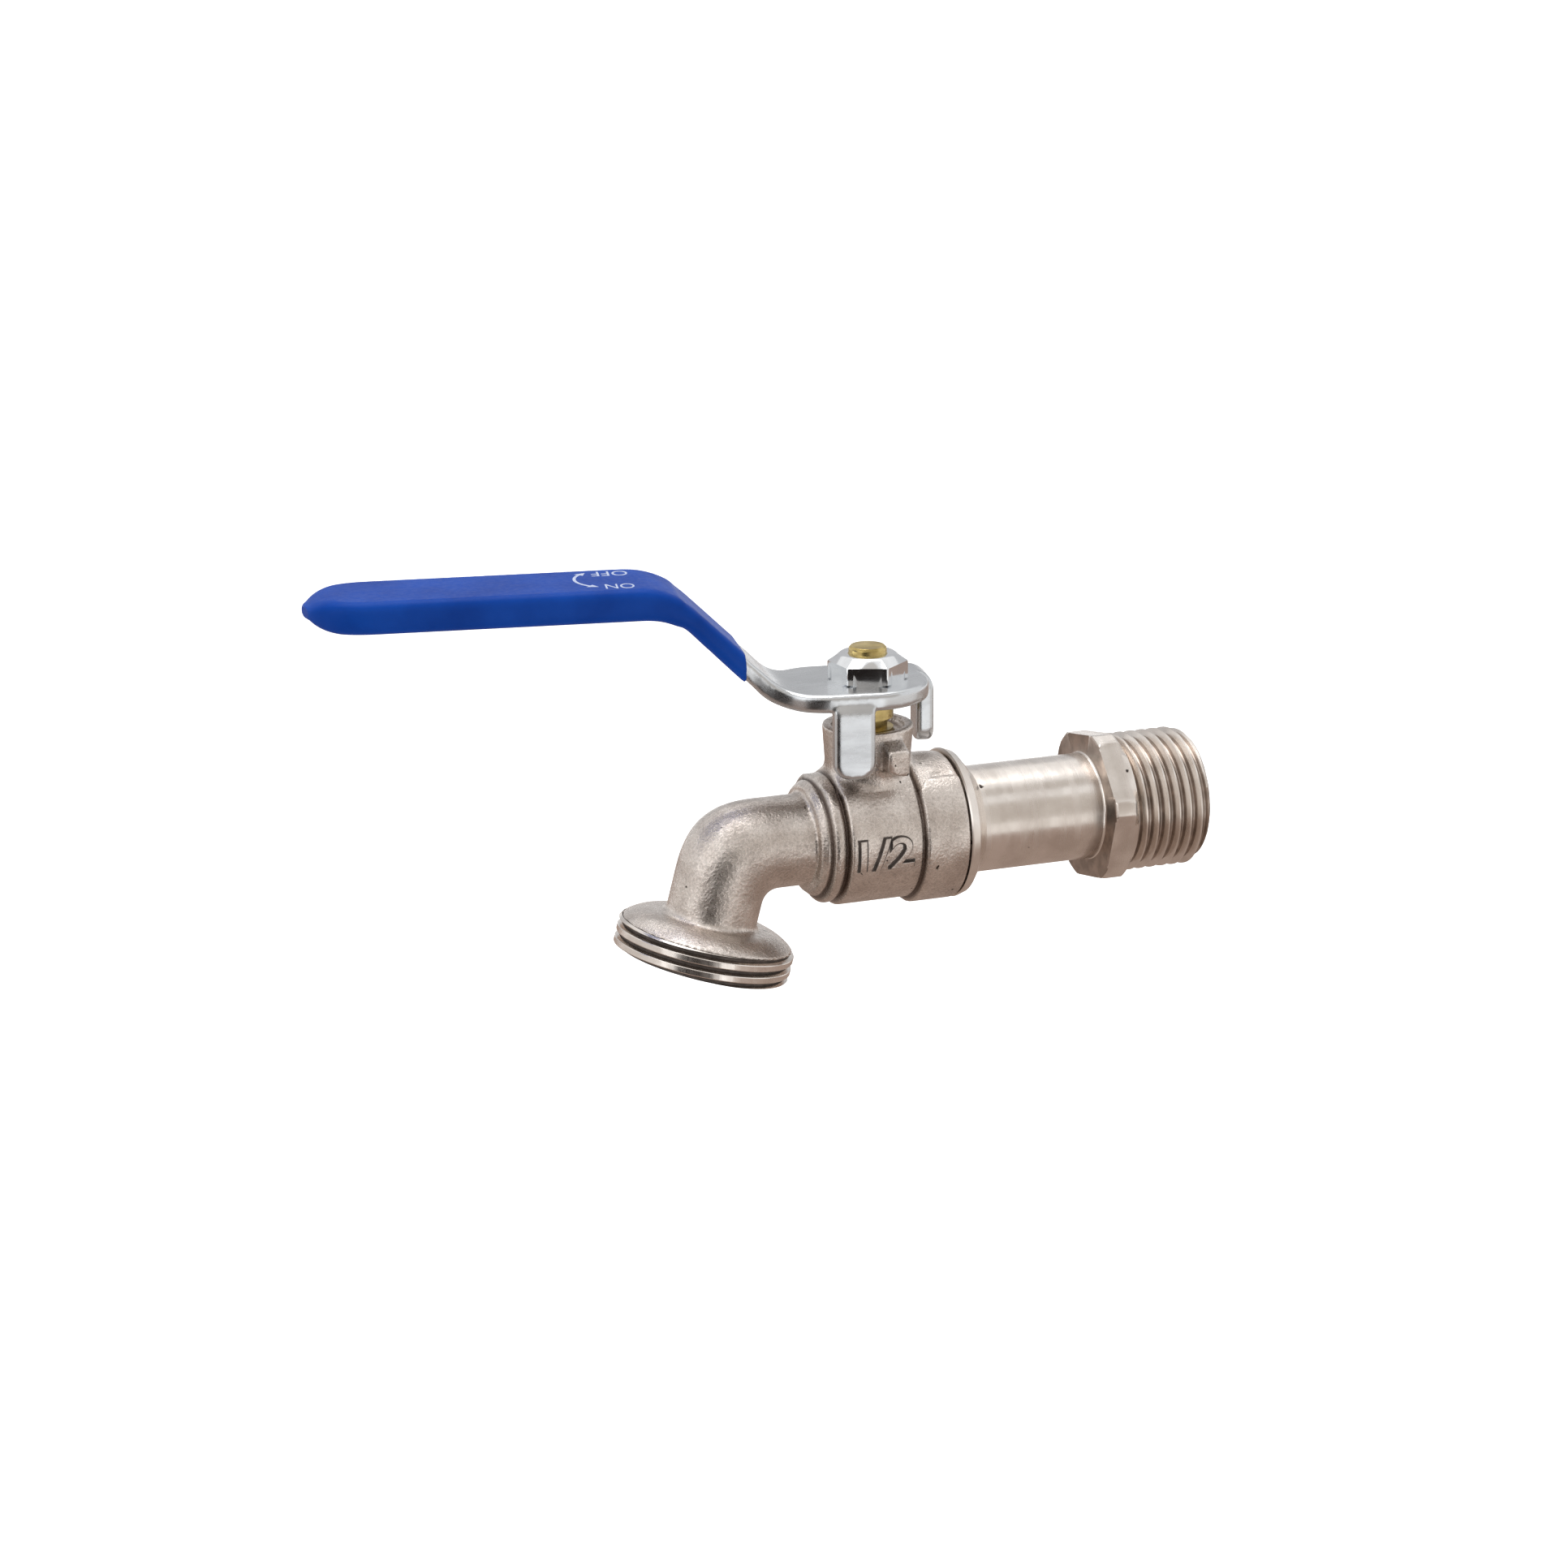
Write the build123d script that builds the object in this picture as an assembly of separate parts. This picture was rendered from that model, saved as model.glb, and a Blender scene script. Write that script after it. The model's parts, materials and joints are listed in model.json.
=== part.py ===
from build123d import *
import os
from math import cos, radians, sin, sqrt, tan

# Lever operated ball bibcock, sizes in millimetres.
# Inlet axis along X, wall side +X, up +Z. The origin is the centre of the hexagon's wall side shoulder.
# Pieces are drawn about the ball's centre and moved to that origin when they are written.

# Ball, seats and chamber
ball_diameter = 15.0
ball_bore = 9.0
ball_clearance = 0.3
ball_slot_wall = 0.9
seat_backing = 0.5
seat_width = 3.2
seat_fit = 0.1
waterway = 9.5
chamber_wall = 2.5
chamber_edge = 0.5

# Beads between the chamber and the spout
large_bead = 1.2
large_bead_drop = 0.5
small_bead = 0.8
small_bead_drop = 2.0
bead_pitch = 1.7
bead_root = 0.4

# Socket of the body and the tailpiece that screws into it
seal_width = 1.2
seal_thickness = 1.0
collar_wall = 2.2
collar_length = 7.0
collar_groove = 0.7
spigot_length = 4.0
spigot_fit = 0.05
seam_gap = 0.2
shoulder_land = 1.4
shoulder_cone = 2.2
shoulder_round = 0.4
tube_diameter = 16.0
tube_length = 20.2
hexagon_flats = 20.2
hexagon_width = 3.6
hexagon_turn = 11.4
hexagon_corner_cut = 0.75
hexagon_edge = 0.25
hexagon_bevel = 1.2
inlet_bore = 10.0
inlet_thread_diameter = 20.955
inlet_thread_length = 12.2
inlet_chamfer = 1.0

# Spout and hose outlet
spout_diameter = 13.6
spout_run = 4.6
spout_bend_radius = 9.1
spout_bend_swell = 1.4
spout_bend_spread = 0.03
spout_leg = 3.2
outlet_tilt = 14.7
outlet_thread_diameter = 26.441
outlet_thread_length = 4.45
outlet_chamfer = 0.35
outlet_dome_height = 2.0
outlet_neck_round = 0.9
outlet_mouth = 17.0
outlet_mouth_depth = 9.0

# Stem, its gland in the boss and the stop lug
stem_diameter = 7.6
stem_fit = 0.06
stem_collar_step = 1.15
stem_collar_height = 1.4
stem_collar_clearance = 0.15
stem_collar_gap = 0.1
stem_tang_width = 3.0
stem_tang_length = 8.0
tang_fit = 0.1
stem_neck_diameter = 5.8
stem_neck_height = 1.6
stem_thread_diameter = 6.0
stem_flats = 4.4
stem_proud = 0.7
stem_chamfer = 0.5
washer_thickness = 0.8
o_ring_section = 1.2
o_ring_squeeze = 0.1
gland_length = 5.6
boss_wall = 1.2
boss_recess_depth = 1.0
boss_rim = 0.9
lug_width = 3.4
lug_side = -0.5
lug_depth = 3.3
lug_drop = 1.0
lug_height = 4.7

# Lever, sleeve and nut
lever_swing = 10.5
lever_lift = 4.2
lever_thickness = 2.4
lever_hub_inset = 0.5
lever_shoulder = 9.0
lever_taper = 5.0
lever_arm_width = 11.6
lever_neck_round = 8.0
lever_edge = 0.4
lever_bend_radius = 9.0
lever_rise = 16.0
lever_slope = 45.0
lever_upper_radius = 11.0
lever_length = 80.6
lever_fit = 0.1
front_tab_width = 5.8
front_tab_length = 10.1
front_tab_gap = 0.6
end_tab_width = 4.8
end_tab_length = 8.6
end_tab_gap = 1.9
tab_bend_radius = 2.0
tab_corner = 2.2
tab_clearance = 0.3
sleeve_wall = 0.9
sleeve_slope_wall = 0.3
sleeve_side_wall = 1.4
sleeve_end_wall = 0.5
sleeve_neck_round = 20.0
sleeve_tip = 1.5
sleeve_tip_taper = 9.5
sleeve_start = 5.0
sleeve_round = 1.3
nut_flats = 10.3
nut_height = 4.1
nut_fit = 0.05
nut_chamfer = 0.8
nut_edge = 0.2
nut_turn = 49.0

# Largest rounding of an edge, as a share of its wall, and the overlap of solids that are joined
round_share = 0.45
weld = 0.01
on_base = (Align.CENTER, Align.CENTER, Align.MIN)

# Places along the inlet axis, from the ball's centre
ball_radius = ball_diameter / 2
chamber_bore = ball_radius + ball_clearance
chamber_radius = chamber_bore + chamber_wall
seat_back = ball_radius + seat_backing
socket_radius = chamber_bore + seal_width
spigot_radius = socket_radius - spigot_fit
collar_radius = socket_radius + collar_wall
socket_start = seat_back - seal_thickness
seam = seat_back + spigot_length
collar_start = seam - collar_length
shoulder_start = seam + seam_gap
tube_start = shoulder_start + shoulder_land + shoulder_cone
hexagon_start = tube_start + tube_length
inlet_shoulder = hexagon_start + hexagon_width
large_bead_x = -seat_back
small_bead_x = large_bead_x - bead_pitch
large_bead_ring = chamber_radius - large_bead_drop - large_bead
small_bead_ring = chamber_radius - small_bead_drop - small_bead
chamber_start = large_bead_x + large_bead + chamber_edge / 2

# Spout: level run, bend and leg, in the plane Y = 0
spout_radius = spout_diameter / 2
bend_angle = 90 - outlet_tilt
bend_tangent = spout_bend_radius * tan(radians(bend_angle / 2))
bend_start = small_bead_x - small_bead - spout_run
leg_direction = Vector(-sin(radians(outlet_tilt)), 0, -cos(radians(outlet_tilt)))
leg_length = spout_leg + outlet_neck_round + outlet_dome_height
spout_corner = Vector(bend_start - bend_tangent, 0, 0)
bend_end = spout_corner + leg_direction * bend_tangent
bend_centre = Vector(bend_start, 0, -spout_bend_radius)
rim_centre = bend_end + leg_direction * leg_length
outlet_plane = Plane(origin=rim_centre, x_dir=(0, 1, 0), z_dir=leg_direction)

# Heights on the stem axis
stem_radius = stem_diameter / 2
stem_collar_radius = stem_radius + stem_collar_step
gland_radius = stem_collar_radius + stem_collar_clearance
boss_radius = gland_radius + boss_wall
slot_bottom = ball_bore / 2 + ball_slot_wall
collar_bottom = chamber_bore + stem_collar_gap
collar_top = collar_bottom + stem_collar_height
washer_top = collar_top + washer_thickness
recess_floor = washer_top + gland_length
boss_height = recess_floor + boss_recess_depth
o_ring_heights = [washer_top + gland_length * share for share in (1 / 3, 2 / 3)]
lug_top = boss_height - lug_drop

# Lever: seat, stop tabs and crank
lever_seat = boss_height + lever_lift
lever_top = lever_seat + lever_thickness
hub_middle = lever_seat + lever_thickness / 2
stem_top = lever_top + nut_height + stem_proud
front_tab_side = boss_radius + front_tab_gap + lever_thickness
end_tab_side = boss_radius + end_tab_gap + lever_thickness
front_tab_edge = lug_side - tab_clearance
end_tab_edge = lug_side + lug_width + tab_clearance
lever_hub_radius = front_tab_side - lever_hub_inset
lever_bend = lever_shoulder + lever_taper
lever_highest = stem_top + lever_rise
sleeve_end = lever_bend + sleeve_start
sleeve_half_width = lever_arm_width / 2 + sleeve_side_wall


def limited(rounding, wall):
    """Rounding of an edge, held within its wall."""
    return min(rounding, round_share * wall)


def ring_profile(x0, x1, radius):
    """Half section of a cylinder about the inlet axis."""
    return Pos((x0 + x1) / 2, radius / 2) * Rectangle(x1 - x0, radius)


def bar(x0, x1, radius):
    """Cylinder about the inlet axis."""
    return Pos(x0, 0, 0) * Rot(0, 90, 0) * Cylinder(radius, x1 - x0, align=on_base)


def post(z0, z1, radius):
    """Cylinder about the stem axis."""
    return Pos(0, 0, z0) * Cylinder(radius, z1 - z0, align=on_base)


def turned(points, axis=Axis.X):
    """Solid of revolution of a half section given by its corners."""
    return revolve(Plane.XZ * make_face(Polyline(*points, close=True)), axis)


def body_barrel():
    """Outside of the chamber, its collar and the two beads."""
    half = Pos(0, collar_radius) * Rectangle(6 * collar_radius, 2 * collar_radius)
    chamber_length = collar_start + chamber_edge - chamber_start
    chamber = Pos(chamber_start + chamber_length / 2, 0) * RectangleRounded(
        chamber_length, 2 * chamber_radius, chamber_edge)
    collar = Pos((collar_start + seam) / 2, 0) * RectangleRounded(
        collar_length, 2 * collar_radius, chamber_edge)
    groove = Pos(collar_start, chamber_radius) * Circle(collar_groove / 2)
    section = (chamber - groove) + collar
    section += ring_profile(large_bead_x, collar_start, large_bead_ring + bead_root)
    section += Pos(large_bead_x, large_bead_ring) * Circle(large_bead)
    section += ring_profile(small_bead_x, large_bead_x, large_bead_ring)
    section += Pos(small_bead_x, small_bead_ring) * Circle(small_bead)
    section += ring_profile(small_bead_x - small_bead, small_bead_x, small_bead_ring)
    return revolve(Plane.XZ * (section & half), Axis.X)


def bend_section(share):
    """Section across the spout's bend at a share of its turn, fuller on the outside of the bend."""
    turn = radians(bend_angle * share)
    outward = Vector(-sin(turn), 0, cos(turn))
    along = Vector(-cos(turn), 0, -sin(turn))
    fullness = sin(radians(180 * share)) ** 2
    swell = spout_bend_swell * fullness
    centre = bend_centre + outward * (spout_bend_radius + swell / 2)
    plane = Plane(origin=centre, x_dir=outward, z_dir=along)
    return plane * Ellipse(spout_radius + swell / 2, spout_radius + spout_bend_spread * fullness)


def spout_outside():
    """Level run, fuller bend and leg of the spout."""
    bend = loft([bend_section(share) for share in (0, 1 / 4, 1 / 2, 3 / 4, 1)])
    run = bar(bend_start - weld, small_bead_x, spout_radius)
    leg_plane = Plane(origin=bend_end - leg_direction * weld, z_dir=leg_direction)
    leg = leg_plane * Cylinder(spout_radius, leg_length, align=on_base)
    return run + bend + leg


def outlet_flange():
    """Neck, dome and thread band of the hose outlet, turned about the outlet axis."""
    band = outlet_thread_diameter / 2
    rim = band - outlet_chamfer
    neck_top = -outlet_dome_height - outlet_neck_round
    neck = JernArc((spout_radius, neck_top), (0, 1), outlet_neck_round, -90)
    dome = TangentArc(neck @ 1, (rim, 0), tangent=(1, 0))
    outside = Polyline(dome @ 1, (band, outlet_chamfer), (band, outlet_thread_length - outlet_chamfer),
                       (rim, outlet_thread_length), (0, outlet_thread_length), (0, neck_top), neck @ 0)
    return outlet_plane * revolve(Plane.XZ * make_face(neck + dome + outside), Axis.Z)


def spout_waterway():
    """Water passage through the spout, with the flared mouth of the outlet."""
    start = Vector(-seat_back, 0, 0)
    finish = rim_centre + leg_direction * outlet_thread_length
    path = FilletPolyline(start, spout_corner, finish, radius=spout_bend_radius)
    tube = sweep(Plane(origin=start, z_dir=(-1, 0, 0)) * Circle(waterway / 2), path)
    deep = outlet_thread_length - outlet_mouth_depth
    mouth = turned([(0, deep), (waterway / 2, deep), (outlet_mouth / 2, outlet_thread_length),
                    (0, outlet_thread_length)], Axis.Z)
    return tube + outlet_plane * mouth


def stop_lug():
    """Square lug on the front of the boss, which the lever's tabs come up against."""
    root = boss_radius / 2
    depth = boss_radius + lug_depth - root
    block = Box(lug_width, depth, lug_height)
    place = Pos(lug_side + lug_width / 2, -root - depth / 2, lug_top - lug_height / 2)
    return place * fillet(block.edges(), limited(chamber_edge, lug_width))


def make_body():
    """The one casting: spout, chamber, collar, stem boss and stop lug."""
    casting = body_barrel() + spout_outside() + outlet_flange()
    casting += post(0, boss_height, boss_radius) + stop_lug()
    casting -= bar(-seat_back, seam, chamber_bore)
    casting -= bar(socket_start, seam, socket_radius)
    casting -= post(0, washer_top, gland_radius)
    casting -= post(0, boss_height, stem_radius + stem_fit)
    casting -= post(recess_floor, boss_height, boss_radius - boss_rim)
    return casting - spout_waterway()


def inlet_hexagon():
    """Hexagon with its corners turned off, bevelled down to the thread."""
    corner = hexagon_flats / sqrt(3)
    largest = corner - hexagon_corner_cut
    prism = extrude(Rot(0, 0, 90 + hexagon_turn) * RegularPolygon(corner, 6), hexagon_width)
    blank = turned([(hexagon_start, 0), (hexagon_start, largest - hexagon_edge),
                    (hexagon_start + hexagon_edge, largest), (inlet_shoulder - hexagon_bevel, largest),
                    (inlet_shoulder, inlet_thread_diameter / 2), (inlet_shoulder, 0)])
    return Pos(hexagon_start, 0, 0) * Rot(0, 90, 0) * prism & blank


def make_tailpiece():
    """Turned inlet: spigot, shoulder, tube, hexagon and male pipe thread."""
    thread_radius = inlet_thread_diameter / 2
    thread_end = inlet_shoulder + inlet_thread_length
    tube_radius = tube_diameter / 2
    points = [(seat_back, 0), (seat_back, spigot_radius), (shoulder_start, spigot_radius),
              (shoulder_start, collar_radius - shoulder_round / 2),
              (shoulder_start + shoulder_round / 2, collar_radius),
              (shoulder_start + shoulder_land, collar_radius - shoulder_round),
              (tube_start, tube_radius), (inlet_shoulder, tube_radius), (inlet_shoulder, thread_radius),
              (thread_end - inlet_chamfer, thread_radius), (thread_end, thread_radius - inlet_chamfer),
              (thread_end, 0)]
    return turned(points) + inlet_hexagon() - bar(seat_back, thread_end, inlet_bore / 2)


def make_ball():
    """Bored ball with the slot that the stem's tang turns."""
    slot = Box(stem_tang_width + 2 * tang_fit, ball_diameter, ball_diameter, align=on_base)
    return Sphere(ball_radius) - bar(-ball_radius, ball_radius, ball_bore / 2) - Pos(0, 0, slot_bottom) * slot


def make_seat(side):
    """Ring that seals against the ball, on the outlet (-1) or inlet (+1) side."""
    outer = chamber_bore - seat_fit
    inner = waterway / 2
    section = Pos(seat_back - seat_width / 2, (inner + outer) / 2) * Rectangle(seat_width, outer - inner)
    section -= Circle(ball_radius + ball_clearance)
    ring = revolve(Plane.XZ * section, Axis.X)
    return ring if side > 0 else mirror(ring, Plane.YZ)


def make_body_seal():
    """Flat ring between the body's step and the tailpiece's end."""
    return bar(socket_start, seat_back, spigot_radius) - bar(socket_start, seat_back, chamber_bore)


def stem_groove(bottom, top, radius):
    """Ring cut out of the stem's shank."""
    return post(bottom, top, stem_collar_radius) - post(bottom, top, radius)


def stem_tang():
    """Flat key that reaches into the ball's slot, rounded to the ball."""
    bottom = slot_bottom + tang_fit
    key = Pos(0, 0, bottom) * Box(stem_tang_width, stem_tang_length, collar_bottom - bottom, align=on_base)
    return key & Sphere(ball_radius) + post(slot_bottom, collar_bottom, stem_tang_length / 2)


def stem_end():
    """Threaded end with two flats where the lever sits."""
    end = post(lever_seat, stem_top, stem_thread_diameter / 2)
    end = chamfer(end.edges().group_by(Axis.Z)[-1], stem_chamfer)
    flats = Pos(0, 0, lever_seat) * Box(stem_flats, stem_diameter, lever_thickness, align=on_base)
    return (end & flats) + (end & post(lever_top, stem_top, stem_radius))


def make_stem():
    """Brass stem: tang, inner collar, shank with two seal grooves, neck and threaded end."""
    shank = post(collar_bottom, collar_top, stem_collar_radius) + post(collar_top, lever_seat, stem_radius)
    for height in o_ring_heights:
        shank -= stem_groove(height - o_ring_section / 2, height + o_ring_section / 2,
                             stem_radius - o_ring_section - o_ring_squeeze)
    neck_bottom = boss_height - boss_recess_depth / 2
    shank -= stem_groove(neck_bottom, neck_bottom + stem_neck_height, stem_neck_diameter / 2)
    return stem_tang() + shank + stem_end()


def make_o_ring(height):
    """Rubber ring in a groove of the stem."""
    section = o_ring_section / 2
    return Pos(0, 0, height) * Torus(stem_radius - o_ring_squeeze - section, section)


def make_stem_washer():
    """Thrust ring between the stem's collar and the boss."""
    hole = post(collar_top, washer_top, stem_radius + stem_fit)
    return post(collar_top, washer_top, stem_collar_radius) - hole


def crank_corner(offset_slope, offset_grip):
    """Corner of the crank on a line beside the slope's and the grip's middle lines."""
    height = lever_rise + offset_grip
    slope = radians(lever_slope)
    return (-lever_bend - height / tan(slope) + offset_slope / sin(slope), hub_middle + height)


def bent_strip():
    """Wide strip bent along the lever's middle line, from the hub to the arm's end."""
    corner_x, grip = crank_corner(0, 0)
    path = FilletPolyline((lever_hub_radius, 0, hub_middle), (-lever_bend, 0, hub_middle),
                          (corner_x, 0, grip), (-lever_length, 0, grip),
                          radius=[lever_bend_radius, lever_upper_radius])
    section = Plane(origin=path @ 0, x_dir=(0, 1, 0), z_dir=path % 0) * Rectangle(
        4 * lever_hub_radius, lever_thickness)
    return sweep(section, path)


def lever_outline():
    """Plan of the lever: round hub, shoulders, tapered neck and round ended arm."""
    arm = lever_arm_width / 2
    hub = Circle(lever_hub_radius) + Pos(-lever_shoulder / 2, 0) * Rectangle(
        lever_shoulder, 2 * lever_hub_radius)
    taper = make_face(Polyline((-lever_shoulder, lever_hub_radius), (-lever_bend, arm), (-lever_bend, -arm),
                               (-lever_shoulder, -lever_hub_radius), close=True))
    straight = lever_length - arm - lever_bend
    grip = Pos(-lever_bend - straight / 2, 0) * Rectangle(straight, lever_arm_width)
    outline = hub + taper + grip + Pos(arm - lever_length, 0) * Circle(arm)
    corners = outline.vertices().filter_by_position(Axis.X, -lever_bend - weld, weld - lever_shoulder)
    narrowing = Vector(lever_taper, lever_hub_radius - arm)
    half_turn = narrowing.get_angle(Vector(1, 0)) / 2
    return fillet(corners, limited(lever_neck_round, narrowing.length / tan(radians(half_turn))))


def is_rim(edge):
    """True for an edge along a strip's outline, not one across the strip or through its thickness."""
    straight = edge.geom_type == GeomType.LINE
    across = straight and abs((edge % 0.5).Y) > 1 - weld
    through = straight and abs((edge % 0.5).Y) < weld and edge.length < 1.5 * lever_thickness
    return not (across or through)


def bent_tab(side, length, width):
    """Strip that leaves the hub level along +X, bends down and ends below the lever's seat."""
    middle = side - lever_thickness / 2
    path = FilletPolyline((lever_hub_radius / 2, 0, hub_middle), (middle, 0, hub_middle),
                          (middle, 0, lever_seat - length), radius=tab_bend_radius)
    section = Plane(origin=path @ 0, x_dir=(0, 1, 0), z_dir=path % 0) * Rectangle(width, lever_thickness)
    tab = sweep(section, path)
    corners = tab.edges().filter_by(Axis.X).group_by(Axis.Z)[0]
    tab = fillet(corners, limited(tab_corner, width))
    rims = tab.edges().filter_by(Axis.X, reverse=True).filter_by(Axis.Y, reverse=True)
    return fillet(rims, limited(lever_edge, lever_thickness))


def make_lever():
    """Stamped lever: hub with two stop tabs bent down, cranked arm."""
    lever = bent_strip() & extrude(lever_outline(), lever_highest)
    lever = fillet(lever.edges().filter_by(is_rim), limited(lever_edge, lever_thickness))
    front = Rot(0, 0, -90) * bent_tab(front_tab_side, front_tab_length, front_tab_width)
    lever += Pos(front_tab_edge - front_tab_width / 2, 0, 0) * front
    end = bent_tab(end_tab_side, end_tab_length, end_tab_width)
    lever += Pos(0, end_tab_edge + end_tab_width / 2, 0) * end
    hole = post(lever_seat, lever_top, stem_thread_diameter / 2 + lever_fit)
    return lever - (hole & Box(stem_flats + 2 * lever_fit, 4 * stem_diameter, 4 * stem_top))


def sleeve_side():
    """Side view of the sleeve: thick along the grip, thinner down the slope to its open end."""
    half_slope = lever_thickness / 2 + sleeve_slope_wall
    half_grip = lever_thickness / 2 + sleeve_wall
    tip = -lever_length - sleeve_tip
    upper = crank_corner(half_slope, half_grip)
    lower = crank_corner(-half_slope, -half_grip)
    fall = tan(radians(lever_slope))
    upper_end = (-sleeve_end, upper[1] - (-sleeve_end - upper[0]) * fall)
    lower_end = (-sleeve_end, lower[1] - (-sleeve_end - lower[0]) * fall)
    top = FilletPolyline(upper_end, upper, (tip, upper[1]), radius=lever_upper_radius + half_grip)
    under = FilletPolyline(lower_end, lower, (tip, lower[1]), radius=lever_upper_radius - half_grip)
    return make_face(top + under + Line(top @ 1, under @ 1) + Line(top @ 0, under @ 0))


def sleeve_plan():
    """Plan of the sleeve: oval tip, straight grip, and narrower down the slope to its open end."""
    crank = crank_corner(0, 0)[0]
    tip = sleeve_tip_taper - lever_length - sleeve_tip
    end = lever_arm_width / 2 + sleeve_end_wall
    sides = make_face(Polyline((tip, sleeve_half_width), (crank, sleeve_half_width), (-sleeve_end, end),
                               (-sleeve_end, -end), (crank, -sleeve_half_width), (tip, -sleeve_half_width),
                               close=True))
    neck = sides.vertices().filter_by_position(Axis.X, crank - weld, crank + weld)
    return fillet(neck, sleeve_neck_round) + Pos(tip, 0) * Ellipse(sleeve_tip_taper, sleeve_half_width)


def make_sleeve(lever):
    """Dipped sleeve over the grip, open end square to the grip."""
    skin = extrude(Plane.XZ * sleeve_side(), 2 * sleeve_half_width, both=True)
    skin &= extrude(sleeve_plan(), lever_highest)
    rims = skin.edges() - skin.faces().sort_by(Axis.X)[-1].edges()
    rims = rims.filter_by(Axis.Y, reverse=True).filter_by(Axis.Z, reverse=True)
    wall = lever_thickness + 2 * sleeve_slope_wall
    return fillet(rims, limited(sleeve_round, wall)) - lever


def make_nut():
    """Hexagon nut, corners rounded off at both faces."""
    corner = nut_flats / sqrt(3)
    prism = extrude(Rot(0, 0, nut_turn) * RegularPolygon(corner, 6), nut_height)
    blank = turned([(0, 0), (corner - nut_edge, 0), (corner, nut_edge),
                    (corner, nut_height - nut_chamfer / 2), (corner - nut_chamfer, nut_height),
                    (0, nut_height)], Axis.Z)
    hole = post(lever_top, stem_top, stem_thread_diameter / 2 + nut_fit)
    return Pos(0, 0, lever_top) * (prism & blank) - hole


def fixed_pieces():
    """Pieces that stay with the body."""
    return {
        "body": make_body(),
        "tailpiece": make_tailpiece(),
        "outlet_seat": make_seat(-1),
        "inlet_seat": make_seat(1),
        "body_seal": make_body_seal(),
        "stem_washer": make_stem_washer(),
    }


def turning_pieces():
    """Pieces that turn with the lever, drawn with the lever against its open stop."""
    lever = make_lever()
    return {
        "lever": lever,
        "lever_sleeve": make_sleeve(lever),
        "lever_nut": make_nut(),
        "stem": make_stem(),
        "stem_o_ring_lower": make_o_ring(o_ring_heights[0]),
        "stem_o_ring_upper": make_o_ring(o_ring_heights[1]),
        "ball": make_ball(),
    }


def main():
    os.makedirs("parts", exist_ok=True)
    to_origin = Pos(-inlet_shoulder, 0, 0)
    for name, piece in fixed_pieces().items():
        export_step(to_origin * piece, f"parts/{name}.step")
    for name, piece in turning_pieces().items():
        export_step(to_origin * Rot(0, 0, -lever_swing) * piece, f"parts/{name}.step")


main()
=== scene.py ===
import json
import math

import bmesh
import bpy
from mathutils import Matrix, Vector

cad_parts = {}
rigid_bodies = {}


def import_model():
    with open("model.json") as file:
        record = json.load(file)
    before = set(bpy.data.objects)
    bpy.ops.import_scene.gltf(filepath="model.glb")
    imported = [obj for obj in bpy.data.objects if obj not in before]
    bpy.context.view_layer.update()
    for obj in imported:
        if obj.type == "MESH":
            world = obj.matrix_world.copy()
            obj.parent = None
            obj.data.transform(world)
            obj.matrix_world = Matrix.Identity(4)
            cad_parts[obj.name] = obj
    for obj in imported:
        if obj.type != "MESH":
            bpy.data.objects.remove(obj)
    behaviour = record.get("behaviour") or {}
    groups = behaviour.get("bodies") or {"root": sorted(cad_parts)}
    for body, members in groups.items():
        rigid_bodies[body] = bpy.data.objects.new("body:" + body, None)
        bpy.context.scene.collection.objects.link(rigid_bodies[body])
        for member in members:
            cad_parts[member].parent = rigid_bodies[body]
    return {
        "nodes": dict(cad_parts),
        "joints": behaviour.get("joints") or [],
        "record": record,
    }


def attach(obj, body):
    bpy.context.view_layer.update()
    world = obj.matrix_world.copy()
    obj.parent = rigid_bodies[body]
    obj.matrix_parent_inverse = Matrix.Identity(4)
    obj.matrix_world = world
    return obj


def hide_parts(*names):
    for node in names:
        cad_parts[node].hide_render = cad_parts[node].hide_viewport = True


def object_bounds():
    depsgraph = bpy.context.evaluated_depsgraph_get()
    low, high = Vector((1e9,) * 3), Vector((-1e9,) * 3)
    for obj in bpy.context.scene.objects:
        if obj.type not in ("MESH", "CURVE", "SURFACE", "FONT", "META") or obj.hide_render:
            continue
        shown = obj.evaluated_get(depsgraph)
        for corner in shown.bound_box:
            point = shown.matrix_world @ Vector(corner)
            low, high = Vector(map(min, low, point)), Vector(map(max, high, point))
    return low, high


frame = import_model()
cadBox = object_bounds()
mm = 0.001
scene = bpy.context.scene
print("frame loaded with", len(frame["nodes"]), "nodes")


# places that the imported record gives
leverJoint = frame["joints"][0]
ballCentre = Vector(leverJoint["pos_m"])
restTurn = math.radians(leverJoint["range_deg"][0])  # at rest the lever is this far off its open stop
mounts = {mount["name"]: mount for mount in frame["record"]["mounts"]}

# grooves between chamber, collar and beads, in mm along X from the ball
castGrooves = (4.95, -6.68, -9.05)


# small helpers for node trees

def addNode(material, kind, inputs=None, **settings):
    made = material.node_tree.nodes.new(kind)
    for name, value in settings.items():
        setattr(made, name, value)
    for name, value in (inputs or {}).items():
        made.inputs[name].default_value = value
    return made


def join(material, source, output, target, entry):
    material.node_tree.links.new(source.outputs[output], target.inputs[entry])


def newFinish(name, metallic, roughness):
    material = bpy.data.materials.new(name)
    material.use_nodes = True
    shader = material.node_tree.nodes["Principled BSDF"]
    shader.inputs["Metallic"].default_value = metallic
    shader.inputs["Roughness"].default_value = roughness
    place = addNode(material, "ShaderNodeTexCoord")
    return material, shader, place


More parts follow.
